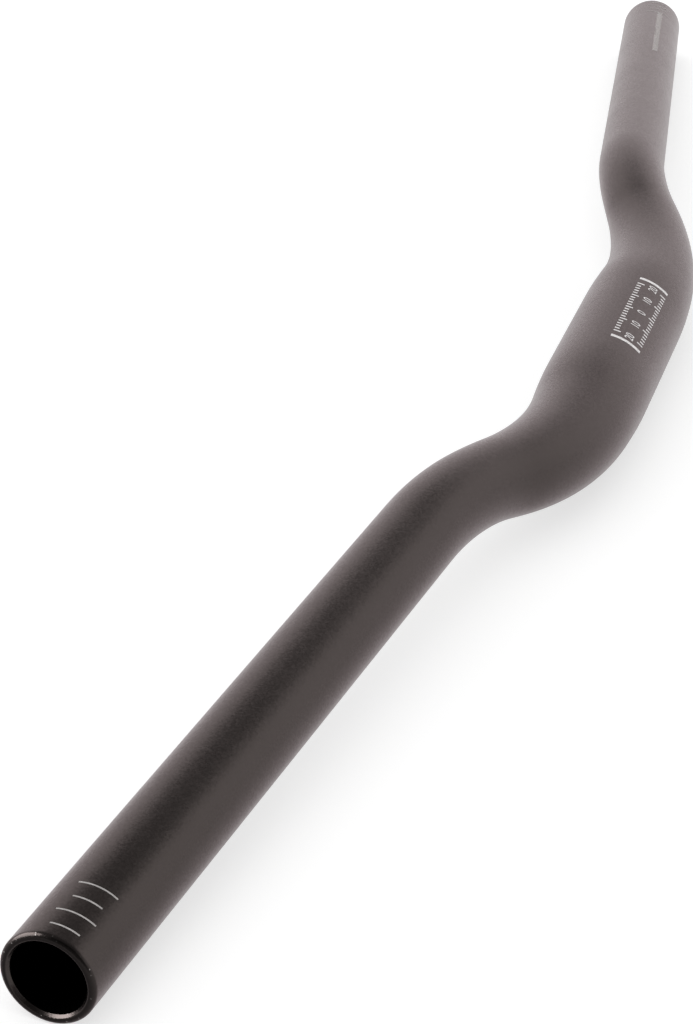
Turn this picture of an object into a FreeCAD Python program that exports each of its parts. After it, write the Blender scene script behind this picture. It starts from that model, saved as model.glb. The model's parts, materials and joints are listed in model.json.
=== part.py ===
# Mountain bike riser handlebar: one butted aluminium tube, bent and tapered, lying front face up
import FreeCAD, Part
import os
from math import acos, asin, atan2, ceil, cos, degrees, hypot, radians, sin, tan

Vector = FreeCAD.Vector

# Driving dimensions of the bar as it is mounted, in millimetres and degrees
bar_width = 720.0            # between the tip centres, along the clamp axis
rise = 30.0                  # height of the tip centres above the clamp axis
backsweep = 8.0              # angle of the grips towards the rider
upsweep = 2.6                # angle of the grips upwards
shoulder_backsweep = 9.8     # angle towards the rider of the slope between clamp and grip

# The centre line's straight runs and bends
clamp_run = 100.0            # straight middle of the bar
clamp_bend_radius = 150.0    # bend from the clamp into the slope
shoulder_run = 3.0           # straight slope between the two bends
grip_bend_radius = 150.0     # bend from the slope into the grip

# The tube's section
clamp_diameter = 31.8
grip_diameter = 22.2
clamp_wall = 2.6
grip_wall = 2.3
full_size_length = 76.0      # middle stretch that keeps the clamp diameter, measured to the taper's corners
taper_length = 78.0          # along the centre line, from corner to corner
taper_blend = 20.0           # length over which each corner of the taper is rounded

# The cut ends
rim_chamfer = 0.5            # chamfer of the outer edge
mouth_chamfer = 0.8          # chamfer of the bore's edge

# How the model is made
section_spacing = 4.0        # greatest distance between the sections of a loft
point_tolerance = 1e-4       # how near to the tip's centre an edge round it is centred
angle_tolerance = 1e-9       # how closely the slope is found

RIGHT_ANGLE = 90.0
ORIGIN = Vector(0, 0, 0)
ALONG = Vector(1, 0, 0)
UP = Vector(0, 0, 1)


def heading(back, up):
    """Direction of a run that leads outwards and leans back and up by these angles."""
    direction = Vector(1, tan(radians(back)), tan(radians(up)))
    return direction.normalize()


def section(point, direction, radius):
    """Circle across the centre line."""
    circle = Part.Wire(Part.makeCircle(radius))
    circle.Placement = FreeCAD.Placement(point, FreeCAD.Rotation(UP, direction))
    return circle


class Run:
    """A stretch of the centre line."""

    def end(self):
        """Point and direction at the run's end."""
        return self.at(self.length)


class Straight(Run):
    """A straight run of the centre line."""

    def __init__(self, start, direction, length):
        self.start, self.direction, self.length = start, direction, length

    def at(self, distance):
        """Point and direction at a distance from the run's start."""
        return self.start + self.direction * distance, self.direction

    def rod(self, radius, first, last):
        """Round rod along the stretch between two distances."""
        return Part.makeCylinder(radius, last - first, *self.at(first))


class Bend(Run):
    """A round bend of the centre line from one direction into another."""

    def __init__(self, start, direction, new_direction, radius):
        turn = acos(direction.dot(new_direction))
        self.start, self.direction, self.radius = start, direction, radius
        self.inward = (new_direction - direction * cos(turn)).normalize()
        self.length = radius * turn

    def at(self, distance):
        """Point and direction at a distance from the run's start."""
        turn = distance / self.radius
        forward = self.direction * sin(turn) * self.radius
        sideways = self.inward * (1 - cos(turn)) * self.radius
        return self.start + forward + sideways, self.direction * cos(turn) + self.inward * sin(turn)

    def rod(self, radius, first, last):
        """Round rod along the stretch between two distances."""
        disc = Part.Face(section(*self.at(first), radius))
        centre = self.start + self.inward * self.radius
        axis = self.direction.cross(self.inward)
        return disc.revolve(centre, axis, degrees((last - first) / self.radius))


def centre_line(shoulder_upsweep):
    """Runs of one half of the bar, from its middle to the tip."""
    slope_heading = heading(shoulder_backsweep, shoulder_upsweep)
    grip_heading = heading(backsweep, upsweep)
    clamp = Straight(ORIGIN, ALONG, clamp_run / 2)
    clamp_bend = Bend(*clamp.end(), slope_heading, clamp_bend_radius)
    shoulder = Straight(*clamp_bend.end(), shoulder_run)
    grip_bend = Bend(*shoulder.end(), grip_heading, grip_bend_radius)
    grip_start, _ = grip_bend.end()
    grip = Straight(grip_start, grip_heading, (bar_width / 2 - grip_start.x) / grip_heading.x)
    return [clamp, clamp_bend, shoulder, grip_bend, grip]


def tip_of(runs):
    """Centre of the cut end."""
    point, _ = runs[-1].end()
    return point


def slope_for_rise():
    """Upward angle of the slope that brings the tips to the stated rise, found by halving."""
    low, high = -RIGHT_ANGLE, RIGHT_ANGLE
    while high - low > angle_tolerance:
        middle = (low + high) / 2
        if tip_of(centre_line(middle)).z < rise:
            low = middle
        else:
            high = middle
    return high


runs = centre_line(slope_for_rise())
tip = tip_of(runs)
half_length = sum(run.length for run in runs)
taper_start = full_size_length / 2
taper_end = taper_start + taper_length
narrowing_start = taper_start - taper_blend / 2
narrowing_end = taper_end + taper_blend / 2


def station(distance):
    """Point and direction of the centre line at a distance from the bar's middle."""
    for run in runs:
        if distance <= run.length:
            return run.at(distance)
        distance -= run.length
    return runs[-1].at(runs[-1].length + distance)


def even_rods(radius, first, last):
    """Rods of one radius that follow the centre line between two distances from the middle."""
    rods = []
    for run in runs:
        start, end = max(first, 0.0), min(last, run.length)
        if end > start:
            rods.append(run.rod(radius, start, end))
        first, last = first - run.length, last - run.length
    return rods


def ramp(distance):
    """Zero up to a corner and then a rise of one in one, with the corner rounded."""
    half = taper_blend / 2
    if abs(distance) < half:
        return (distance + half) ** 2 / (4 * half)
    return max(distance, 0.0)


def tapered(clamp_size, grip_size, distance):
    """A size that goes from its clamp value to its grip value over the taper."""
    share = (ramp(distance - taper_start) - ramp(distance - taper_end)) / taper_length
    return clamp_size + (grip_size - clamp_size) * share


def narrowing_rod(clamp_radius, grip_radius):
    """Loft along the stretch of the centre line where the tube narrows."""
    length = narrowing_end - narrowing_start
    steps = ceil(length / section_spacing)
    places = [narrowing_start + length * step / steps for step in range(steps + 1)]
    circles = [section(*station(place), tapered(clamp_radius, grip_radius, place)) for place in places]
    return Part.makeLoft(circles, True)


def half_rod(clamp_radius, grip_radius):
    """Solid of half the bar's length, narrowing from the clamp to the grip."""
    rods = even_rods(clamp_radius, 0.0, narrowing_start)
    rods.append(narrowing_rod(clamp_radius, grip_radius))
    rods += even_rods(grip_radius, narrowing_end, half_length)
    return rods[0].fuse(rods[1:])


def tip_edges(tube):
    """Edges round the cut end, from the bore outwards."""
    around = [edge for edge in tube.Edges if edge.CenterOfMass.isEqual(tip, point_tolerance)]
    return sorted(around, key=lambda edge: edge.Length)


def half_tube():
    """Half of the bar, hollow, with its cut end finished."""
    clamp_radius, grip_radius = clamp_diameter / 2, grip_diameter / 2
    outside = half_rod(clamp_radius, grip_radius)
    bore = half_rod(clamp_radius - clamp_wall, grip_radius - grip_wall)
    tube = outside.cut(bore)
    tube = tube.makeChamfer(rim_chamfer, tip_edges(tube)[-1:])
    return tube.makeChamfer(mouth_chamfer, tip_edges(tube)[:1])


def resting_roll():
    """Turn about the clamp axis that lays the back of the clamp and both tips on one level."""
    step_down = (clamp_diameter - grip_diameter) / 2
    return -degrees(atan2(tip.z, tip.y) + asin(step_down / hypot(tip.y, tip.z)))


half = half_tube()
handlebar = half.fuse(half.mirror(ORIGIN, ALONG)).removeSplitter()
handlebar.rotate(ORIGIN, ALONG, resting_roll())

os.makedirs("parts", exist_ok=True)
handlebar.exportStep("parts/handlebar.step")
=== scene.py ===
"""A bicycle riser handlebar: a bent and tapered black tube with printed scales, lying in a pale studio."""

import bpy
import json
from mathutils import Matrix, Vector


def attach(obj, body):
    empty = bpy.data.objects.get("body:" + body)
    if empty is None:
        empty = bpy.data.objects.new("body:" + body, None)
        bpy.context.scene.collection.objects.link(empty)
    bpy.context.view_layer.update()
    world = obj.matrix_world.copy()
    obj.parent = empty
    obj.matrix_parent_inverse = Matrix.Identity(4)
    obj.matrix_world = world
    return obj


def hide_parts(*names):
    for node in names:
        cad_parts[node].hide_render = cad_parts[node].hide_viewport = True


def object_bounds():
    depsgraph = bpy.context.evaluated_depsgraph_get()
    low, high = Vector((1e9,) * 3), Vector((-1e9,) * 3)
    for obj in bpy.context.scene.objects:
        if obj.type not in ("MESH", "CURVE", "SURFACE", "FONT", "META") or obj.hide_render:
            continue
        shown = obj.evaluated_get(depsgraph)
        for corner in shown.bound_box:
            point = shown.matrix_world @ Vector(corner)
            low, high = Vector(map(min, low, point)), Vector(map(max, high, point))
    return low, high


bl_info = {
    "name": "Riser handlebar",
    "version": (1, 0, 0),
    "blender": (4, 5, 0),
    "location": "View3D > Sidebar > Handlebar",
    "description": "Builds a bicycle riser handlebar with its printed scales, and a studio round it",
    "category": "Add Mesh",
}

import json
import math
from typing import NamedTuple

import bpy
from bpy.props import FloatProperty, FloatVectorProperty, IntProperty, PointerProperty
from mathutils import Quaternion, Vector

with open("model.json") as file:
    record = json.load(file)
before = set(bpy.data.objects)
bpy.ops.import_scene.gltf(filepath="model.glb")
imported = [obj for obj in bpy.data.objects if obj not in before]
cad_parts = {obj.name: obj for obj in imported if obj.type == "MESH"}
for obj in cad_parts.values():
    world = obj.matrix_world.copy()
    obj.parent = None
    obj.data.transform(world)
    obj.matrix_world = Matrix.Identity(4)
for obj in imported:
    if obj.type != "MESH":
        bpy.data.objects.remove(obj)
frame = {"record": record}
cad_box = [list(corner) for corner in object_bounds()]

MILLIMETRE = 0.001
MOUNTS = {mount["name"]: mount for mount in frame["record"]["mounts"]}
STEM_CLAMP = MOUNTS["stem_clamp"]
GRIP = MOUNTS["left_grip"]
END_BORE = MOUNTS["left_end_bore"]


def mount_diameter(mount):
    """Diameter of a round mount, in metres."""
    return 2 * mount["dims"]["r_mm"] * MILLIMETRE


def length(name, description, default):
    """Property for a size in metres."""
    return FloatProperty(name=name, description=description, default=default, unit="LENGTH", precision=5)


def angle(name, description, degrees):
    """Property for an angle."""
    return FloatProperty(name=name, description=description, default=math.radians(degrees), subtype="ANGLE")


def number(name, description, default):
    """Property for a plain number."""
    return FloatProperty(name=name, description=description, default=default)


def count(name, description, default, least):
    """Property for a whole number."""
    return IntProperty(name=name, description=description, default=default, min=least)


def colour(name, description, default):
    """Property for a colour."""
    return FloatVectorProperty(name=name, description=description, default=default, subtype="COLOR",
                               size=3, min=0.0, max=1.0)


def point(name, description, default):
    """Property for a place in the scene."""
    return FloatVectorProperty(name=name, description=description, default=default, subtype="TRANSLATION")


class HandlebarTubeSizes(bpy.types.PropertyGroup):
    """Sizes of the bent tube"""

    clamp_diameter: length("Clamp diameter", "Outside of the bar's middle", mount_diameter(STEM_CLAMP))
    grip_diameter: length("Grip diameter", "Outside of the bar's ends", mount_diameter(GRIP))
    bore_diameter: length("Bore diameter", "Inside of the bar's ends", mount_diameter(END_BORE))
    clamp_wall: length("Clamp wall", "Thickness of the tube at the clamp", 0.0026)
    full_size_length: length("Full size length", "Middle stretch that keeps the clamp diameter", 0.076)
    taper_length: length("Taper length", "Stretch over which the tube narrows", 0.078)
    taper_blend: length("Taper blend", "Length over which each corner of the taper is rounded", 0.020)
    clamp_corner: length("Clamp corner", "From the middle to the corner of clamp and slope", 0.079853)
    grip_corner: length("Grip corner", "From the middle plane to the corner of slope and grip", 0.132001)
    bend_radius: length("Bend radius", "Radius of the centre line's bends", 0.150)
    bends_end: length("Bends end", "Distance from the middle, along the bar, that is past both bends", 0.162)
    rim_chamfer: length("Rim chamfer", "Chamfer of the outer edge of the cut ends, as made", 0.0005)
    rim_rounding: length("Rim rounding", "Radius of that edge, as worn and coated", 0.0012)
    mouth_chamfer: length("Mouth chamfer", "Depth of the chamfer of the bore's edge", 0.0008)
    mouth_flare: length("Mouth flare", "How far that chamfer widens the bore, once coated", 0.00065)
    face_ease: length("Face ease", "Reach of the round corner of cut face and mouth chamfer", 0.00022)
    bore_ease: length("Bore ease", "Reach of the round corner of mouth chamfer and bore", 0.00012)
    ring_spacing: length("Ring spacing", "Distance between the rings of faces along the bends", 0.002)
    sides: count("Sides", "Faces round the tube", 144, 12)


class HandlebarPrintSizes(bpy.types.PropertyGroup):
    """Sizes of the marks and scales printed on the tube"""

    ink_height: length("Ink height", "How far the ink stands proud of the tube", 0.00004)

    cut_mark_start: length("Cut mark start", "From the tip to the first cut mark", 0.0046)
    cut_mark_spacing: length("Cut mark spacing", "Distance between the cut marks", 0.0051)
    cut_mark_count: count("Cut marks", "Number of cut marks at each end", 4, 1)
    cut_mark_width: length("Cut mark width", "Width of the cut marks", 0.00045)
    short_cut_mark: angle("Short cut mark", "How far a short cut mark reaches round the tube", 36.0)
    long_cut_mark: angle("Long cut mark", "How far a long cut mark reaches round the tube", 49.0)
    cut_mark_lean: angle("Cut mark lean", "Middle of the cut marks, from the top of the lying bar", -12.0)

    clamp_scale_step: length("Clamp scale step", "Distance between the centring scale's marks", 0.002)
    clamp_scale_reach: length("Clamp scale reach", "From the middle to the centring scale's ends", 0.020)
    clamp_scale_height: length("Clamp scale height", "Height of the centring scale round the tube", 0.0100)
    clamp_scale_lean: angle("Clamp scale lean", "Middle of that scale, from the top of the lying bar", -26.7)
    clamp_mark_width: length("Clamp mark width", "Width of the centring scale's marks", 0.0007)
    short_clamp_mark: length("Short clamp mark", "Length of the centring scale's short marks", 0.0014)
    long_clamp_mark: length("Long clamp mark", "Length of the centring scale's long marks", 0.0022)
    end_bar_gap: length("End bar gap", "From the centring scale's last mark to its end bar", 0.0042)
    end_bar_width: length("End bar width", "Width of the centring scale's end bars", 0.0015)
    figure_height: length("Figure height", "Size of the centring scale's numbers", 0.0041)
    figure_drop: length("Figure drop", "From that scale's middle to the foot of its numbers", 0.0015)

    lever_scale_step: length("Lever scale step", "Distance between the lever scale's marks", 0.001)
    lever_scale_near: length("Lever scale start", "From the tip to the lever scale's start", 0.021)
    lever_scale_far: length("Lever scale end", "From the tip to the lever scale's end", 0.085)
    lever_scale_lean: angle("Lever scale lean", "Middle of that scale, from the top of the lying bar", -16.0)
    lever_mark_width: length("Lever mark width", "Width of the lever scale's marks", 0.00055)
    short_lever_mark: length("Short lever mark", "Length of the lever scale's short marks", 0.0020)
    long_lever_mark: length("Long lever mark", "Length of the lever scale's long marks", 0.0024)


class HandlebarFinishes(bpy.types.PropertyGroup):
    """Colours and finishes"""

    black: colour("Black", "Anodised black of the tube", (0.0545, 0.0461, 0.0436))
    worn_black: colour("Worn black", "Paler patches of the anodised black", (0.0590, 0.0499, 0.0472))
    # Cut black is also laid all through the bore, where it is painted shade inside the tube.
    cut_black: colour("Cut black", "Smooth black of the cut faces", (0.0125, 0.0108, 0.0104))
    bare_metal: colour("Bare metal", "Aluminium where the black is chipped off", (0.32, 0.30, 0.29))
    ink: colour("Ink", "Pale print of the clamp's scale", (0.97, 0.94, 0.94))
    faded_ink: colour("Faded ink", "Duller print of the lever scale", (0.66, 0.61, 0.60))
    etched: colour("Etched marks", "Cut marks at the ends", (0.50, 0.475, 0.465))


class HandlebarStudio(bpy.types.PropertyGroup):
    """Light, floor and camera"""

    floor_colour: colour("Floor", "Pale floor", (0.55, 0.55, 0.55))
    floor_lift: number("Floor lift", "White added to the floor where it is seen or mirrored", 0.63)
    wall_foot: number("Wall foot", "Brightness of the studio's walls at the floor", 1.16)
    wall_top: number("Wall top", "Brightness of the studio's walls at their top", 1.29)
    ceiling: number("Ceiling", "Brightness of the studio's ceiling", 0.32)
    back: number("Back", "Share of that brightness behind the camera", 0.2)
    key_strength: number("Key light", "Strength of the soft key light", 1.2)
    key_breadth: angle("Key light breadth", "How broad the key light looks from the bar", 70.0)
    tip_lamp_power: number("Tip lamp", "Power of the soft lamp beside the near tip", 0.0852)
    tip_lamp_size: length("Tip lamp size", "Diameter of that lamp", 0.058)
    tip_lamp_distance: length("Tip lamp distance", "From the near tip to that lamp", 0.060)
    camera_place: point("Camera", "Where the camera stands", (-0.867115, -0.133316, 0.357217))
    camera_aim: point("Aim", "Point on the floor in the picture's middle", (-0.101561, 0.055527, -0.0159))
    camera_roll: angle("Camera roll", "Turn of the camera about its line of sight", 2.374)
    lens: FloatProperty(name="Lens", description="Focal length", default=110.443, unit="CAMERA")


class Nodes:
    """Adds nodes to a tree and joins them."""

    def __init__(self, tree):
        self.tree = tree

    def fill(self, socket, value):
        """Joins another node's output to a socket, or sets the socket's own value."""
        if isinstance(value, bpy.types.NodeSocket):
            self.tree.links.new(value, socket)
        elif value is not None:
            socket.default_value = value

    def add(self, kind, *values, **settings):
        """New node; the values go to its visible inputs in order, and None leaves one as it is."""
        node = self.tree.nodes.new(kind)
        for name, setting in settings.items():
            setattr(node, name, setting)
        for socket, value in zip([socket for socket in node.inputs if socket.enabled], values):
            self.fill(socket, value)
        return node

    def math(self, operation, *values):
        """Sum, product or other result of numbers."""
        return self.add("ShaderNodeMath", *values, operation=operation).outputs["Value"]

    def vector(self, operation, *values):
        """Sum, product or other result of vectors."""
        return self.add("ShaderNodeVectorMath", *values, operation=operation).outputs["Vector"]

    def whole(self, operation, *values):
        """Result of whole numbers."""
        return self.add("FunctionNodeIntegerMath", *values, operation=operation).outputs["Value"]

    def split(self, vector):
        """The three parts of a vector."""
        return self.add("ShaderNodeSeparateXYZ", vector).outputs

    def join(self, x, y, z):
        """Vector of three parts."""
        return self.add("ShaderNodeCombineXYZ", x, y, z).outputs["Vector"]

    def put_together(self, *parts):
        """One geometry of several."""
        whole = self.add("GeometryNodeJoinGeometry")
        for part in parts:
            self.tree.links.new(part, whole.inputs[0])
        return whole.outputs[0]


def new_tree(name, kind, inputs, outputs):
    """Empty tree with named sockets: its builder, its inputs by name, and its output node."""
    tree = bpy.data.node_groups.new(name, kind)
    for label, socket_type, default in inputs:
        socket = tree.interface.new_socket(label, in_out="INPUT", socket_type=socket_type)
        if default is not None:
            socket.default_value = default
    for label, socket_type in outputs:
        tree.interface.new_socket(label, in_out="OUTPUT", socket_type=socket_type)
    nodes = Nodes(tree)
    return nodes, nodes.add("NodeGroupInput").outputs, nodes.add("NodeGroupOutput").inputs


def built_once(name, build):
    """Tree of this name, built the first time that it is asked for."""
    return bpy.data.node_groups.get(name) or build(name)


GEOMETRY, MATERIAL, VECTOR = "NodeSocketGeometry", "NodeSocketMaterial", "NodeSocketVector"
FLOAT, INTEGER, BOOLEAN = "NodeSocketFloat", "NodeSocketInt", "NodeSocketBool"

CORNERS = ("Clamp Corner", "Grip Corner", "Tip")     # of one half of the centre line
BEND_INPUTS = [(corner, VECTOR, None) for corner in CORNERS] + [("Bend Radius", FLOAT, None)]
BEND_STEPS = 64
CENTRE_LINE_POINTS = 1501
CLOSE = 1e-6                                         # points nearer than this are one point


def shape_tree(name, inputs):
    """Empty geometry tree for a piece that lies along the bar."""
    return new_tree(name, "GeometryNodeTree", inputs + BEND_INPUTS + [("Material", MATERIAL, None)],
                    [("Geometry", GEOMETRY)])


def bend_tree(name):
    """Group that lays a shape made along a straight X axis on the bar's bent centre line."""
    nodes, given, result = new_tree(name, "GeometryNodeTree", [("Geometry", GEOMETRY, None)] + BEND_INPUTS,
                                    [("Geometry", GEOMETRY)])
    corners = nodes.add("GeometryNodeMeshLine", 2 * len(CORNERS), None, None)
    index = nodes.add("GeometryNodeInputIndex").outputs[0]
    from_middle = nodes.math("SUBTRACT", index, len(CORNERS) - 0.5)
    pick = nodes.add("GeometryNodeIndexSwitch", data_type="VECTOR")
    pick.index_switch_items.new()
    nodes.fill(pick.inputs[0], nodes.math("FLOOR", nodes.math("ABSOLUTE", from_middle)))
    for socket, corner in zip(pick.inputs[1:], CORNERS):
        nodes.fill(socket, given[corner])
    side = nodes.join(nodes.math("SIGN", from_middle), 1.0, 1.0)
    placed = nodes.add("GeometryNodeSetPosition", corners.outputs[0], None,
                       nodes.vector("MULTIPLY", pick.outputs[0], side))
    sharp = nodes.add("GeometryNodeMeshToCurve", placed.outputs[0])
    rounded = nodes.add("GeometryNodeFilletCurve", sharp.outputs[0], BEND_STEPS, given["Bend Radius"],
                        mode="POLY")
    line = nodes.add("GeometryNodeResampleCurve", rounded.outputs[0], None, CENTRE_LINE_POINTS).outputs[0]

    x, y, z = nodes.split(nodes.add("GeometryNodeInputPosition").outputs[0])
    half = nodes.math("MULTIPLY", nodes.add("GeometryNodeCurveLength", line).outputs[0], 0.5)
    centre = nodes.add("GeometryNodeSampleCurve", line, None, nodes.math("ADD", x, half), mode="LENGTH")
    along = nodes.vector("NORMALIZE", centre.outputs["Tangent"])
    across = nodes.vector("NORMALIZE", nodes.vector("CROSS_PRODUCT", (0, 0, 1), along))
    up = nodes.vector("CROSS_PRODUCT", along, across)
    offset = nodes.vector("ADD", nodes.vector("SCALE", across, y), nodes.vector("SCALE", up, z))
    place = nodes.vector("ADD", centre.outputs["Position"], offset)
    bent = nodes.add("GeometryNodeSetPosition", given["Geometry"], None, place)
    nodes.fill(result["Geometry"], bent.outputs[0])
    return nodes.tree


def lay_along_bar(nodes, geometry, given):
    """Adds the bending group to a tree."""
    group = nodes.add("GeometryNodeGroup")
    group.node_tree = built_once("Lay along the bar", bend_tree)
    nodes.fill(group.inputs["Geometry"], geometry)
    for label, *_ in BEND_INPUTS:
        nodes.fill(group.inputs[label], given[label])
    return group.outputs["Geometry"]


def close_tree(nodes, geometry, given, result):
    """Ends a tree with plain geometry that carries its material."""
    plain = nodes.add("GeometryNodeRealizeInstances", geometry).outputs[0]
    painted = nodes.add("GeometryNodeSetMaterial", plain, None, given["Material"]).outputs[0]
    nodes.fill(result["Geometry"], painted)
    return nodes.tree


def round_axis(nodes, x, radius, turn):
    """Place along the X axis, at a radius from it and a turn round it from the top."""
    return nodes.join(x, nodes.math("MULTIPLY", radius, nodes.math("SINE", turn)),
                      nodes.math("MULTIPLY", radius, nodes.math("COSINE", turn)))


TUBE_INPUTS = [("Wall Outline", GEOMETRY, None), ("Sides", INTEGER, None)]
# The cut mask carries the cut faces' darker black, and painted shade all through the bore.
MASKS = ("wear", "cut")


def tube_tree():
    """Turns the outline of the tube's wall round the X axis and bends the tube along the bar."""
    nodes, given, result = shape_tree("Bent tube", TUBE_INPUTS)
    outline = given["Wall Outline"]
    points = nodes.add("GeometryNodeAttributeDomainSize", outline).outputs["Point Count"]
    rows = nodes.whole("ADD", given["Sides"], 1)
    skin = nodes.add("GeometryNodeMeshGrid", 1.0, 1.0, nodes.whole("ADD", points, 1), rows)
    index = nodes.add("GeometryNodeInputIndex").outputs[0]
    step = nodes.whole("MODULO", nodes.whole("DIVIDE_FLOOR", index, rows), points)
    side = nodes.whole("MODULO", index, rows)
    turn = nodes.math("DIVIDE", nodes.math("MULTIPLY", side, math.tau), given["Sides"])
    here = nodes.add("GeometryNodeInputPosition").outputs[0]
    ring = nodes.add("GeometryNodeSampleIndex", outline, here, step, data_type="FLOAT_VECTOR").outputs[0]
    x, _, radius = nodes.split(ring)
    marked = nodes.add("GeometryNodeStoreNamedAttribute", skin.outputs["Mesh"], None, "UVMap",
                       skin.outputs["UV Map"], data_type="FLOAT2", domain="CORNER")
    for mask in MASKS:
        given_mask = nodes.add("GeometryNodeInputNamedAttribute", mask).outputs[0]
        value = nodes.add("GeometryNodeSampleIndex", outline, given_mask, step).outputs[0]
        marked = nodes.add("GeometryNodeStoreNamedAttribute", marked.outputs[0], None, mask, value)
    turned = nodes.add("GeometryNodeSetPosition", marked.outputs[0], None, round_axis(nodes, x, radius, turn))
    closed = nodes.add("GeometryNodeMergeByDistance", turned.outputs[0], None, CLOSE)
    smooth = nodes.add("GeometryNodeSetShadeSmooth", closed.outputs[0], None, True)
    return close_tree(nodes, lay_along_bar(nodes, smooth.outputs[0], given), given, result)


WRAP_INPUTS = [("Lean", FLOAT, None), ("Skin Radius", FLOAT, None), ("Ink Height", FLOAT, None)]


def wrap_on_skin(nodes, geometry, given):
    """Wraps flat print, made with X along the bar and Y round it, on the tube's skin."""
    x, y, z = nodes.split(nodes.add("GeometryNodeInputPosition").outputs[0])
    turn = nodes.math("ADD", given["Lean"], nodes.math("DIVIDE", y, given["Skin Radius"]))
    radius = nodes.math("ADD", given["Skin Radius"], z)
    return nodes.add("GeometryNodeSetPosition", geometry, None, round_axis(nodes, x, radius, turn)).outputs[0]


def print_on_bar(nodes, flat, given, result):
    """Ends a tree with flat print that is wrapped on the skin and bent with the bar."""
    return close_tree(nodes, lay_along_bar(nodes, wrap_on_skin(nodes, flat, given), given), given, result)


STANDING, CENTRED, HANGING = 0.0, 0.5, 1.0           # share of a mark that is below its base line
MARK_INPUTS = [
    ("Geometry", GEOMETRY, None), ("First", FLOAT, None), ("Spacing", FLOAT, None), ("Count", INTEGER, 1),
    ("Long Every", INTEGER, 1), ("Long First", INTEGER, 0), ("Short", FLOAT, None), ("Long", FLOAT, None),
    ("Below", FLOAT, CENTRED), ("Base Line", FLOAT, 0.0), ("Line Width", FLOAT, None),
    ("Both Ends", BOOLEAN, False),
]
MARK_ROWS = 17               # points along a line, so that it follows the round of the tube


def marks_tree(name):
    """Row of printed lines across the bar, every so many of them long, at one end or at both."""
    nodes, given, result = shape_tree(name, MARK_INPUTS + WRAP_INPUTS)
    row = nodes.add("GeometryNodeMeshLine", given["Count"], nodes.join(given["First"], 0.0, 0.0),
                    nodes.join(given["Spacing"], 0.0, 0.0)).outputs[0]
    twin = nodes.add("GeometryNodeTransform", row, None, None, (-1, 1, 1)).outputs[0]
    both = nodes.put_together(twin, row)
    places = nodes.add("GeometryNodeSwitch", given["Both Ends"], row, both).outputs[0]
    mark = nodes.whole("MODULO", nodes.add("GeometryNodeInputIndex").outputs[0], given["Count"])
    beat = nodes.whole("MODULO", nodes.whole("ADD", mark, given["Long First"]), given["Long Every"])
    is_long = nodes.add("FunctionNodeCompare", beat, 0, data_type="INT", operation="EQUAL").outputs[0]
    reach = nodes.add("GeometryNodeSwitch", is_long, given["Short"], given["Long"],
                      input_type="FLOAT").outputs[0]
    lift = nodes.math("MULTIPLY", reach, nodes.math("SUBTRACT", CENTRED, given["Below"]))
    middle = nodes.math("ADD", given["Base Line"], lift)
    raised = nodes.add("GeometryNodeSetPosition", places, None, None, nodes.join(0.0, middle, 0.0)).outputs[0]
    slab = nodes.add("GeometryNodeMeshCube", (1, 1, 1), 2, MARK_ROWS, 2).outputs[0]
    thick = nodes.math("MULTIPLY", given["Ink Height"], 2.0)
    lines = nodes.add("GeometryNodeInstanceOnPoints", raised, None, slab, None, None, None,
                      nodes.join(given["Line Width"], reach, thick)).outputs[0]
    flat = nodes.add("GeometryNodeRealizeInstances", lines).outputs[0]
    return print_on_bar(nodes, flat, given, result)


FIGURE_INPUTS = [("Geometry", GEOMETRY, None), ("Figure Height", FLOAT, None), ("Foot Line", FLOAT, None)]
FIGURE_SPLITS = 2            # times that the numbers' faces are split, so that they follow it too


def figures_tree(figures):
    """Printed numbers; figures holds each number's text and its place along the bar."""
    nodes, given, result = shape_tree("Printed figures", FIGURE_INPUTS + WRAP_INPUTS)
    texts = []
    for text, place in figures:
        outline = nodes.add("GeometryNodeStringToCurves", text, given["Figure Height"], align_x="CENTER",
                            align_y="BOTTOM_BASELINE").outputs[0]
        foot = nodes.join(place, given["Foot Line"], 0.0)
        texts.append(nodes.add("GeometryNodeTransform", outline, foot).outputs[0])
    outlines = nodes.add("GeometryNodeRealizeInstances", nodes.put_together(*texts)).outputs[0]
    faces = nodes.add("GeometryNodeFillCurve", outlines).outputs[0]
    faces = nodes.add("GeometryNodeSubdivideMesh", faces, FIGURE_SPLITS).outputs[0]
    sunk = nodes.join(0.0, 0.0, nodes.math("MULTIPLY", given["Ink Height"], -1.0))
    faces = nodes.add("GeometryNodeSetPosition", faces, None, None, sunk).outputs[0]
    thick = nodes.math("MULTIPLY", given["Ink Height"], 2.0)
    up = nodes.join(0.0, 0.0, 1.0)
    raised = nodes.add("GeometryNodeExtrudeMesh", faces, None, up, thick, False).outputs[0]
    under = nodes.add("GeometryNodeFlipFaces", faces).outputs[0]
    closed = nodes.add("GeometryNodeMergeByDistance", nodes.put_together(under, raised), None, CLOSE)
    return print_on_bar(nodes, closed.outputs[0], given, result)


def add_object(name, data):
    """New object in the scene."""
    item = bpy.data.objects.new(name, data)
    bpy.context.scene.collection.objects.link(item)
    return item


def bake(name, source, tree, values):
    """Plain mesh object that a tree makes of a source mesh, with the tree's inputs set by name."""
    piece = add_object(name, source)
    modifier = piece.modifiers.new(tree.name, "NODES")
    modifier.node_group = tree
    for socket in tree.interface.items_tree:
        if socket.in_out == "INPUT" and socket.name in values:
            modifier[socket.identifier] = values[socket.name]
    graph = bpy.context.evaluated_depsgraph_get()
    mesh = bpy.data.meshes.new_from_object(piece.evaluated_get(graph), preserve_all_data_layers=True,
                                           depsgraph=graph)
    piece.modifiers.remove(modifier)
    piece.data = mesh
    bpy.data.meshes.remove(source)
    mesh.name = name
    if not mesh.polygons:
        raise RuntimeError(f"{name} has no faces")
    return piece


def grip_point(x):
    """Point on the axis of the left grip, by its distance from the bar's middle plane."""
    place, along = Vector(GRIP["pos_m"]), Vector(GRIP["axis"])
    return place + along * ((x - place.x) / along.x)


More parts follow.
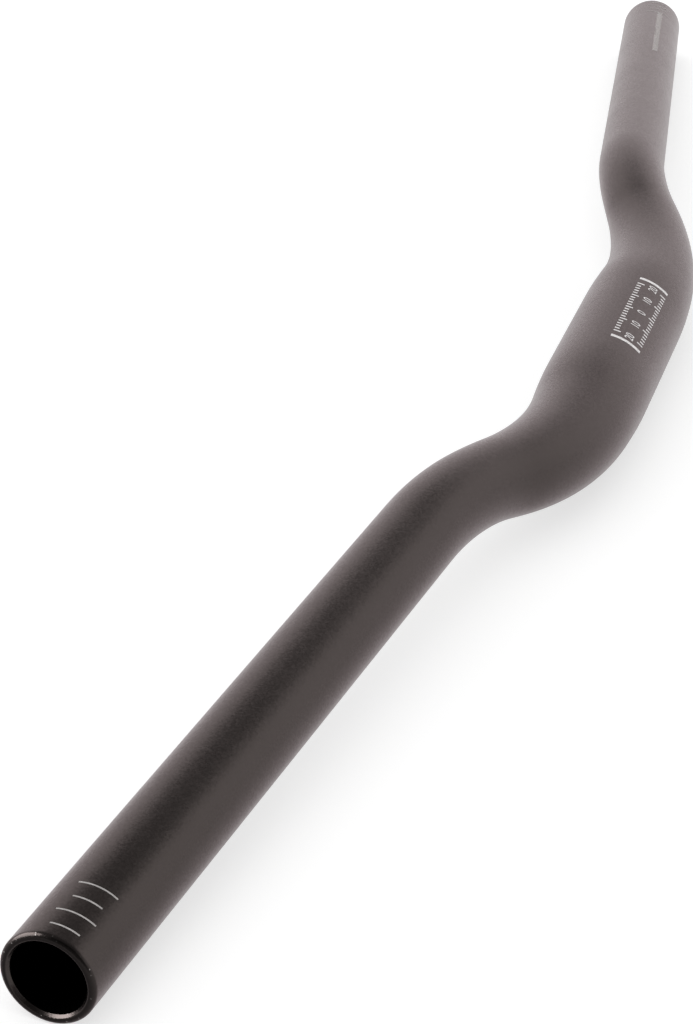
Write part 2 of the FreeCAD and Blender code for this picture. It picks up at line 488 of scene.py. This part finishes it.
def tip_point(sizes):
    """Centre of the left cut end."""
    wall = GRIP["dims"]["length_mm"] * MILLIMETRE
    return Vector(GRIP["pos_m"]) + Vector(GRIP["axis"]) * (wall / 2 + sizes.rim_chamfer)


def corner_points(sizes):
    """Corners of the left half of the centre line, from the clamp to the tip."""
    return [Vector((sizes.clamp_corner, 0.0, 0.0)), grip_point(sizes.grip_corner), tip_point(sizes)]


def bend_values(sizes):
    """Values of the bending group's inputs."""
    return {**dict(zip(CORNERS, corner_points(sizes))), "Bend Radius": sizes.bend_radius}


def half_length(sizes):
    """Length of the centre line from the middle to a tip."""
    corners = [Vector((0.0, 0.0, 0.0)), *corner_points(sizes)]
    runs = [after - before for before, after in zip(corners, corners[1:])]
    total = sum(run.length for run in runs)
    for before, after in zip(runs, runs[1:]):
        turn = before.angle(after)
        total -= sizes.bend_radius * (2 * math.tan(turn / 2) - turn)
    return total


def ramp(distance, blend):
    """Zero up to a corner and then a rise of one in one, with the corner rounded."""
    if abs(distance) < blend / 2:
        return (distance + blend / 2) ** 2 / (2 * blend)
    return max(distance, 0.0)


def tapered(sizes, clamp_size, grip_size, distance):
    """A size that goes from its clamp value to its grip value over the taper."""
    start = sizes.full_size_length / 2
    end = start + sizes.taper_length
    blend = sizes.taper_blend
    share = (ramp(distance - start, blend) - ramp(distance - end, blend)) / sizes.taper_length
    return clamp_size + (grip_size - clamp_size) * share


CLAMP_RINGS = 2              # rings along the straight half of the clamp
GRIP_RINGS = 8               # rings along the straight grip
BORE_SPACING = 2             # how much farther apart the rings of the bore are


def steps_between(first, last, steps):
    """Evenly spaced values from the first one up to, but without, the last one."""
    return [first + (last - first) * step / steps for step in range(steps)]


def ring_places(first, last, end, spacing):
    """Distances from the middle at which the tube gets rings: close together between first and last."""
    close = max(1, math.ceil((last - first) / spacing))
    clamp = steps_between(0.0, first, CLAMP_RINGS)
    return clamp + steps_between(first, last, close) + steps_between(last, end, GRIP_RINGS)


class Ring(NamedTuple):
    """Point of the wall's outline: its wear, and its share of the cut faces' darker black, which in the bore
    is painted shade.
    """

    place: Vector
    wear: float = 0.0
    cut: float = 0.0


RIM_STEPS = 8                # faces round the outer edge of a cut end
CORNER_STEPS = 5             # faces round each corner of the mouth
MOUTH_CUT = 0.2              # the mouth chamfer's share of the cut face's smooth black

# Where extra rings beside the rounded edges keep the shading of the flats
RIM_HOLD = 1.4               # from the cut face, in radii of the rim
END_HOLD = 2.0               # likewise, and as far as the evenly spaced rings come
CHAMFER_HOLD = 0.08          # from each end of the mouth chamfer, as a share of it
BORE_HOLD = 0.3              # from the mouth chamfer, as a share of the way to the evenly spaced rings


def round_corner(before, corner, after, reach, cut_before, cut_after):
    """Rings round a corner of the outline, which goes from one share of cut black to another."""
    first, last = (corner + (side - corner).normalized() * reach for side in (before, after))
    rings = []
    for step in range(CORNER_STEPS + 1):
        share = step / CORNER_STEPS
        place = first.lerp(corner, share).lerp(corner.lerp(last, share), share)
        rings.append(Ring(place, math.sin(share * math.pi), cut_before + (cut_after - cut_before) * share))
    return rings


def rounded_rim(end, skin, radius):
    """Rings round the outer edge of a cut end, worn in the middle."""
    rim = [Ring(Vector((end - hold * radius, skin))) for hold in (END_HOLD, RIM_HOLD)]
    for step in range(RIM_STEPS + 1):
        share = step / RIM_STEPS
        turn = share * math.pi / 2
        place = Vector((end - radius + radius * math.sin(turn), skin - radius + radius * math.cos(turn)))
        # The darker cut black comes in fast over the rounding, which dims the lamp's highlight there: painted
        # shade.
        rim.append(Ring(place, math.sin(2 * turn), math.sqrt(share)))
    return rim


def chamfered_mouth(sizes, end, bore, rim):
    """Rings from the rim across the cut face and the mouth chamfer into the bore."""
    face = Vector((end, bore + sizes.mouth_flare))
    mouth = Vector((end - sizes.mouth_chamfer, bore))
    inner = Vector((end - END_HOLD * sizes.rim_rounding, bore))
    lip = round_corner(rim, face, mouth, sizes.face_ease, 1.0, MOUTH_CUT)
    edge = round_corner(face, mouth, inner, sizes.bore_ease, MOUTH_CUT, 1.0)
    chamfer = [lip[-1].place.lerp(mouth, CHAMFER_HOLD), edge[0].place.lerp(face, CHAMFER_HOLD)]
    # From the mouth inward the bore takes the full cut black: painted shade inside the tube.
    return [*lip, *(Ring(place, cut=MOUTH_CUT) for place in chamfer), *edge,
            Ring(mouth.lerp(inner, BORE_HOLD), cut=1.0), Ring(inner, cut=1.0)]


def wall_outline(sizes):
    """Outline of the tube's wall, distances along the bar against radii."""
    end = half_length(sizes)
    skin, bore = sizes.grip_diameter / 2, sizes.bore_diameter / 2
    clamp_skin, clamp_bore = sizes.clamp_diameter / 2, sizes.clamp_diameter / 2 - sizes.clamp_wall
    first = sizes.full_size_length / 2 - sizes.taper_blend / 2
    last, hold = sizes.bends_end, end - END_HOLD * sizes.rim_rounding

    outside = [Ring(Vector((place, tapered(sizes, clamp_skin, skin, place))))
               for place in ring_places(first, last, hold, sizes.ring_spacing)]
    # The bore takes the full cut black all along: painted shade inside the tube.
    inside = [Ring(Vector((place, tapered(sizes, clamp_bore, bore, place))), cut=1.0)
              for place in ring_places(first, last, hold, BORE_SPACING * sizes.ring_spacing)]
    rim = rounded_rim(end, skin, sizes.rim_rounding)
    half = outside + rim + chamfered_mouth(sizes, end, bore, rim[-1].place) + inside[::-1]
    twin = [ring._replace(place=Vector((-ring.place.x, ring.place.y))) for ring in half[1:-1]]
    return half + twin[::-1]


def outline_mesh(rings):
    """Mesh of a closed outline in the X and Z plane, with its masks."""
    mesh = bpy.data.meshes.new("wall_outline")
    mesh.from_pydata([(ring.place.x, 0.0, ring.place.y) for ring in rings],
                     [(step, (step + 1) % len(rings)) for step in range(len(rings))], [])
    for mask in MASKS:
        values = [getattr(ring, mask) for ring in rings]
        mesh.attributes.new(mask, "FLOAT", "POINT").data.foreach_set("value", values)
    return mesh


GRAIN_DETAIL = {"Grain": 3.0, "Cloud": 4.0, "Fleck": 2.0}


def grain_group(name):
    """Shader group for blasted metal: fine grain, soft clouds, small flecks and leaning facets."""
    nodes, given, result = new_tree(
        name, "ShaderNodeTree",
        [("Vector", VECTOR, None), ("Normal", VECTOR, None), ("Grain Scale", FLOAT, 2200.0),
         ("Cloud Scale", FLOAT, 60.0), ("Fleck Scale", FLOAT, 900.0), ("Facet Scale", FLOAT, 2400.0),
         ("Facet Tilt", FLOAT, 0.055)],
        [("Grain", FLOAT), ("Cloud", FLOAT), ("Fleck", FLOAT), ("Facet Normal", VECTOR)])
    for label, detail in GRAIN_DETAIL.items():
        noise = nodes.add("ShaderNodeTexNoise")
        nodes.fill(noise.inputs["Vector"], given["Vector"])
        nodes.fill(noise.inputs["Scale"], given[f"{label} Scale"])
        nodes.fill(noise.inputs["Detail"], detail)
        nodes.fill(result[label], noise.outputs["Fac"])
    facets = nodes.add("ShaderNodeTexVoronoi")
    nodes.fill(facets.inputs["Vector"], given["Vector"])
    nodes.fill(facets.inputs["Scale"], given["Facet Scale"])
    lean = nodes.vector("SUBTRACT", facets.outputs["Color"], (0.5, 0.5, 0.5))
    leaning = nodes.vector("ADD", given["Normal"], nodes.vector("SCALE", lean, given["Facet Tilt"]))
    nodes.fill(result["Facet Normal"], nodes.vector("NORMALIZE", leaning))
    return nodes.tree


def new_material(name):
    """Material with a Principled shader: its builder and the shader."""
    material = bpy.data.materials.new(name)
    material.use_nodes = True
    return material, Nodes(material.node_tree), material.node_tree.nodes["Principled BSDF"]


def add_grain(nodes):
    """Places the grain group on Object coordinates."""
    group = nodes.add("ShaderNodeGroup")
    group.node_tree = built_once("Blasted grain", grain_group)
    nodes.fill(group.inputs["Vector"], nodes.add("ShaderNodeTexCoord").outputs["Object"])
    nodes.fill(group.inputs["Normal"], nodes.add("ShaderNodeNewGeometry").outputs["Normal"])
    return group.outputs


def between(nodes, value, limits, results, interpolation="LINEAR"):
    """Value mapped from one range to another, held at its ends."""
    mapped = nodes.add("ShaderNodeMapRange", value, *limits, *results, interpolation_type=interpolation)
    return mapped.outputs["Result"]


def mixed(nodes, share, first, second):
    """Blend of two colours."""
    return nodes.add("ShaderNodeMix", share, first, second, data_type="RGBA").outputs[2]


def opaque(paint):
    """Colour of a property as a node takes it."""
    return (*paint, 1.0)


CLOUDED = (0.3, 0.7)                       # clouds from the smoothest to the roughest places
CHIPPED = (0.66, 0.72)                     # flecks from whole to chipped black
PATCHED = (0.38, 0.62)                     # clouds and grain from black to worn black
CLOUD_SHARE = 0.4                          # share of the clouds beside the grain in those patches
BLASTED_ROUGHNESS = (0.24, 0.27)
EDGE_TINT = (0.915, 0.85, 0.86, 1.0)       # what the metal mirrors at a shallow angle


def black_anodising(finishes):
    """Blasted and anodised black aluminium, chipped to bare metal along the cut ends' edges."""
    material, nodes, shader = new_material("black_anodising")
    grain = add_grain(nodes)
    wear, cut = (nodes.add("ShaderNodeAttribute", attribute_name=mask).outputs["Fac"] for mask in MASKS)
    chips = nodes.math("MULTIPLY", wear, between(nodes, grain["Fleck"], CHIPPED, (0.0, 1.0)))
    patches = nodes.math("ADD", nodes.math("MULTIPLY", grain["Cloud"], CLOUD_SHARE),
                         nodes.math("MULTIPLY", grain["Grain"], 1.0 - CLOUD_SHARE))
    worn = between(nodes, patches, PATCHED, (0.0, 1.0))
    skin = mixed(nodes, worn, opaque(finishes.black), opaque(finishes.worn_black))
    # Darker cut black on the cut ends, and painted shade all through the bore.
    skin = mixed(nodes, cut, skin, opaque(finishes.cut_black))
    nodes.fill(shader.inputs["Base Color"], mixed(nodes, chips, skin, opaque(finishes.bare_metal)))
    nodes.fill(shader.inputs["Roughness"], between(nodes, grain["Cloud"], CLOUDED, BLASTED_ROUGHNESS))
    nodes.fill(shader.inputs["Metallic"], 1.0)
    nodes.fill(shader.inputs["Specular Tint"], EDGE_TINT)
    nodes.fill(shader.inputs["Normal"], grain["Facet Normal"])
    return material


THINNED = (0.40, 0.62)                     # flecks from full to thin ink
THIN_SHARE = 0.35                          # how far thin ink goes to its darker tone
THIN_TONE = 0.45                           # brightness of that tone
INK_ROUGHNESS = (0.45, 0.55)
INK_BUMP = 0.12
INK_BUMP_HEIGHT = 0.00005


def print_ink(name, ink):
    """Thin pale print that the grain of the metal shows through."""
    material, nodes, shader = new_material(name)
    grain = add_grain(nodes)
    thin = between(nodes, grain["Fleck"], THINNED, (0.0, THIN_SHARE))
    dark = [THIN_TONE * part for part in ink]
    nodes.fill(shader.inputs["Base Color"], mixed(nodes, thin, opaque(ink), opaque(dark)))
    nodes.fill(shader.inputs["Roughness"], between(nodes, grain["Cloud"], CLOUDED, INK_ROUGHNESS))
    bump = nodes.add("ShaderNodeBump")
    nodes.fill(bump.inputs["Height"], grain["Grain"])
    nodes.fill(bump.inputs["Strength"], INK_BUMP)
    nodes.fill(bump.inputs["Distance"], INK_BUMP_HEIGHT)
    nodes.fill(shader.inputs["Normal"], bump.outputs["Normal"])
    return material


class HANDLEBAR_OT_tube(bpy.types.Operator):
    """Makes the bent, tapered and hollow tube"""

    bl_idname = "handlebar.tube"
    bl_label = "Bent tube"

    def execute(self, context):
        sizes = context.scene.handlebar_tube
        tube = bake("handlebar_tube", outline_mesh(wall_outline(sizes)), tube_tree(), {
            "Sides": sizes.sides, **bend_values(sizes),
            "Material": black_anodising(context.scene.handlebar_finishes),
        })
        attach(tube, "root")
        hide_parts("handlebar")
        return {"FINISHED"}


def print_values(context, diameter, lean, material):
    """Values of the inputs that every print tree has."""
    prints = context.scene.handlebar_prints
    return {
        "Lean": lean, "Skin Radius": diameter / 2, "Ink Height": prints.ink_height,
        "Material": material, **bend_values(context.scene.handlebar_tube),
    }


def make_print(name, tree, values):
    """Piece of ink that a tree makes from nothing."""
    piece = bake(name, bpy.data.meshes.new(name), tree, values)
    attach(piece, "root")


def make_marks(name, values):
    """Row of printed lines."""
    make_print(name, built_once("Printed marks", marks_tree), values)


CUT_MARK_BEAT = 2            # every so many cut marks, one is long
SCALE_BEAT = 5               # every so many marks of a scale, one is long


class HANDLEBAR_OT_cut_marks(bpy.types.Operator):
    """Prints the cut marks near both tips"""

    bl_idname = "handlebar.cut_marks"
    bl_label = "Cut marks"

    def execute(self, context):
        sizes, prints = context.scene.handlebar_tube, context.scene.handlebar_prints
        ink = print_ink("etched_marks", context.scene.handlebar_finishes.etched)
        make_marks("cut_marks", {
            "First": half_length(sizes) - prints.cut_mark_start, "Spacing": -prints.cut_mark_spacing,
            "Count": prints.cut_mark_count, "Long Every": CUT_MARK_BEAT, "Long First": 1,
            "Short": prints.short_cut_mark * sizes.grip_diameter / 2,
            "Long": prints.long_cut_mark * sizes.grip_diameter / 2,
            "Line Width": prints.cut_mark_width, "Both Ends": True,
            **print_values(context, sizes.grip_diameter, prints.cut_mark_lean, ink),
        })
        return {"FINISHED"}


class HANDLEBAR_OT_clamp_scale(bpy.types.Operator):
    """Prints the centring scale and its numbers on the clamp"""

    bl_idname = "handlebar.clamp_scale"
    bl_label = "Centring scale"

    def execute(self, context):
        sizes, prints = context.scene.handlebar_tube, context.scene.handlebar_prints
        ink = print_ink("pale_ink", context.scene.handlebar_finishes.ink)
        common = print_values(context, sizes.clamp_diameter, prints.clamp_scale_lean, ink)
        steps = round(prints.clamp_scale_reach / prints.clamp_scale_step)
        edge = prints.clamp_scale_height / 2
        rows = (("clamp_scale_upper", HANGING, edge), ("clamp_scale_lower", STANDING, -edge))
        for name, below, base in rows:
            make_marks(name, {
                "First": -steps * prints.clamp_scale_step, "Spacing": prints.clamp_scale_step,
                "Count": 2 * steps + 1, "Long Every": SCALE_BEAT, "Short": prints.short_clamp_mark,
                "Long": prints.long_clamp_mark, "Below": below, "Base Line": base,
                "Line Width": prints.clamp_mark_width, **common,
            })
        make_marks("clamp_scale_ends", {
            "First": prints.clamp_scale_reach + prints.end_bar_gap, "Long": prints.clamp_scale_height,
            "Line Width": prints.end_bar_width, "Both Ends": True, **common,
        })
        spacing = SCALE_BEAT * prints.clamp_scale_step
        reach = round(prints.clamp_scale_reach / spacing)
        places = [step * spacing for step in range(-reach, reach + 1)]
        figures = [(str(round(abs(place) / MILLIMETRE)), place) for place in places]
        make_print("clamp_figures", figures_tree(figures),
                   {"Figure Height": prints.figure_height, "Foot Line": -prints.figure_drop, **common})
        return {"FINISHED"}


class HANDLEBAR_OT_lever_scale(bpy.types.Operator):
    """Prints the fine scale on the left grip"""

    bl_idname = "handlebar.lever_scale"
    bl_label = "Lever scale"

    def execute(self, context):
        sizes, prints = context.scene.handlebar_tube, context.scene.handlebar_prints
        ink = print_ink("faded_ink", context.scene.handlebar_finishes.faded_ink)
        steps = round((prints.lever_scale_far - prints.lever_scale_near) / prints.lever_scale_step)
        make_marks("lever_scale", {
            "First": half_length(sizes) - prints.lever_scale_near, "Spacing": -prints.lever_scale_step,
            "Count": steps + 1, "Long Every": SCALE_BEAT, "Short": prints.short_lever_mark,
            "Long": prints.long_lever_mark, "Line Width": prints.lever_mark_width,
            **print_values(context, sizes.grip_diameter, prints.lever_scale_lean, ink),
        })
        return {"FINISHED"}


FLOOR_REACH = 12.0
FLOOR_CORNERS = ((-1, -1), (1, -1), (1, 1), (-1, 1))


def make_floor(studio):
    """Wide pale floor that the bar lies on; it keeps the bar's shadow."""
    level = cad_box[0][2]
    mesh = bpy.data.meshes.new("floor")
    mesh.from_pydata([(x * FLOOR_REACH, y * FLOOR_REACH, level) for x, y in FLOOR_CORNERS],
                     [], [(0, 1, 2, 3)])
    floor = add_object("floor", mesh)

    material, nodes, shader = new_material("pale_floor")
    nodes.fill(shader.inputs["Base Color"], opaque(studio.floor_colour))
    nodes.fill(shader.inputs["Roughness"], 1.0)
    nodes.fill(shader.inputs["Specular IOR Level"], 0.0)
    path = nodes.add("ShaderNodeLightPath").outputs
    seen = nodes.math("MAXIMUM", path["Is Camera Ray"],
                      nodes.math("MAXIMUM", path["Is Glossy Ray"], path["Is Transmission Ray"]))
    nodes.fill(shader.inputs["Emission Color"], (1.0, 1.0, 1.0, 1.0))
    nodes.fill(shader.inputs["Emission Strength"], nodes.math("MULTIPLY", seen, studio.floor_lift))
    mesh.materials.append(material)


CEILING_FADE = (0.43, 0.74)                # upward part of the directions from wall to ceiling
BACK_FADE = (-0.62, -0.25)                 # forward part of the directions from the back to the sides


def make_world(studio):
    """Studio with white walls, a darker ceiling and a dark end behind the camera."""
    world = bpy.data.worlds.new("studio")
    bpy.context.scene.world = world
    world.use_nodes = True
    nodes = Nodes(world.node_tree)
    ahead, _, height = nodes.split(nodes.add("ShaderNodeTexCoord").outputs["Generated"])
    wall = between(nodes, height, (0.0, CEILING_FADE[0]), (studio.wall_foot, studio.wall_top))
    fade = between(nodes, height, CEILING_FADE, (wall, studio.ceiling), "SMOOTHSTEP")
    side = between(nodes, ahead, BACK_FADE, (studio.back, 1.0), "SMOOTHSTEP")
    background = world.node_tree.nodes["Background"].inputs
    nodes.fill(background["Strength"], nodes.math("MULTIPLY", fade, side))
    nodes.fill(background["Color"], (1.0, 1.0, 1.0, 1.0))


def turn_to(item, direction, roll=0.0):
    """Points a lamp or a camera in a direction."""
    item.rotation_mode = "QUATERNION"
    item.rotation_quaternion = direction.to_track_quat("-Z", "Y") @ Quaternion((0.0, 0.0, 1.0), roll)


KEY_DIRECTION = Vector((0.40, -0.20, -0.89))         # the way that the key light travels
TIP_LAMP_SIDE = Vector((-0.15, 0.85, 0.50))          # the way from the near tip to its lamp
OTHER_SIDE = Vector((-1.0, 1.0, 1.0))                # mirrors the left half of the bar to the right


def make_key_light(studio):
    """Broad soft light from above and behind the camera, which the metal does not mirror."""
    lamp = bpy.data.lights.new("key_light", "SUN")
    lamp.energy = studio.key_strength
    lamp.angle = studio.key_breadth
    key = add_object("key_light", lamp)
    turn_to(key, KEY_DIRECTION)
    key.visible_glossy = False


def make_tip_lamp(studio):
    """Small round soft lamp beside the near tip, which only its metal mirrors."""
    lamp = bpy.data.lights.new("tip_lamp", "AREA")
    lamp.shape = "DISK"
    lamp.size = studio.tip_lamp_size
    lamp.energy = studio.tip_lamp_power
    tip_lamp = add_object("tip_lamp", lamp)
    tip = tip_point(bpy.context.scene.handlebar_tube) * OTHER_SIDE
    tip_lamp.location = tip + TIP_LAMP_SIDE.normalized() * studio.tip_lamp_distance
    turn_to(tip_lamp, -TIP_LAMP_SIDE)
    tip_lamp.visible_diffuse = False
    tip_lamp.visible_camera = False


SENSOR_WIDTH = 36.0
VIEW_REACH = 100.0


def make_camera(studio):
    """Camera that sees the bar along its length, from above one tip."""
    view = bpy.data.cameras.new("camera")
    view.lens = studio.lens
    view.sensor_width = SENSOR_WIDTH
    view.clip_end = VIEW_REACH
    camera = add_object("camera", view)
    place, aim = Vector(studio.camera_place), Vector(studio.camera_aim)
    camera.location = place
    turn_to(camera, aim - place, studio.camera_roll)
    bpy.context.scene.camera = camera


class HANDLEBAR_OT_studio(bpy.types.Operator):
    """Makes the floor, the light and the camera"""

    bl_idname = "handlebar.studio"
    bl_label = "Studio"

    def execute(self, context):
        studio = context.scene.handlebar_studio
        make_floor(studio)
        make_world(studio)
        make_key_light(studio)
        make_tip_lamp(studio)
        make_camera(studio)
        context.scene.view_settings.view_transform = "Standard"
        return {"FINISHED"}


OPERATORS = (HANDLEBAR_OT_tube, HANDLEBAR_OT_cut_marks, HANDLEBAR_OT_clamp_scale, HANDLEBAR_OT_lever_scale,
             HANDLEBAR_OT_studio)
SETTINGS = {
    "handlebar_tube": HandlebarTubeSizes, "handlebar_prints": HandlebarPrintSizes,
    "handlebar_finishes": HandlebarFinishes, "handlebar_studio": HandlebarStudio,
}


class HANDLEBAR_PT_panel(bpy.types.Panel):
    """Lists the handlebar's pieces and their sizes"""

    bl_idname = "HANDLEBAR_PT_panel"
    bl_label = "Riser handlebar"
    bl_space_type = "VIEW_3D"
    bl_region_type = "UI"
    bl_category = "Handlebar"

    def draw(self, context):
        for operator in OPERATORS:
            self.layout.operator(operator.bl_idname)
        for name, settings in SETTINGS.items():
            box = self.layout.box()
            for label in settings.__annotations__:
                box.prop(getattr(context.scene, name), label)


def register():
    """Adds the classes and the scene's settings."""
    for cls in (*SETTINGS.values(), *OPERATORS, HANDLEBAR_PT_panel):
        bpy.utils.register_class(cls)
    for name, settings in SETTINGS.items():
        setattr(bpy.types.Scene, name, PointerProperty(type=settings))


def unregister():
    """Takes the classes and the scene's settings away."""
    for name in SETTINGS:
        delattr(bpy.types.Scene, name)
    for cls in (HANDLEBAR_PT_panel, *OPERATORS[::-1], *SETTINGS.values()):
        bpy.utils.unregister_class(cls)


def main():
    """Builds every piece and the studio."""
    register()
    bpy.ops.handlebar.tube()
    bpy.ops.handlebar.cut_marks()
    bpy.ops.handlebar.clamp_scale()
    bpy.ops.handlebar.lever_scale()
    bpy.ops.handlebar.studio()


if __name__ == "__main__":
    main()
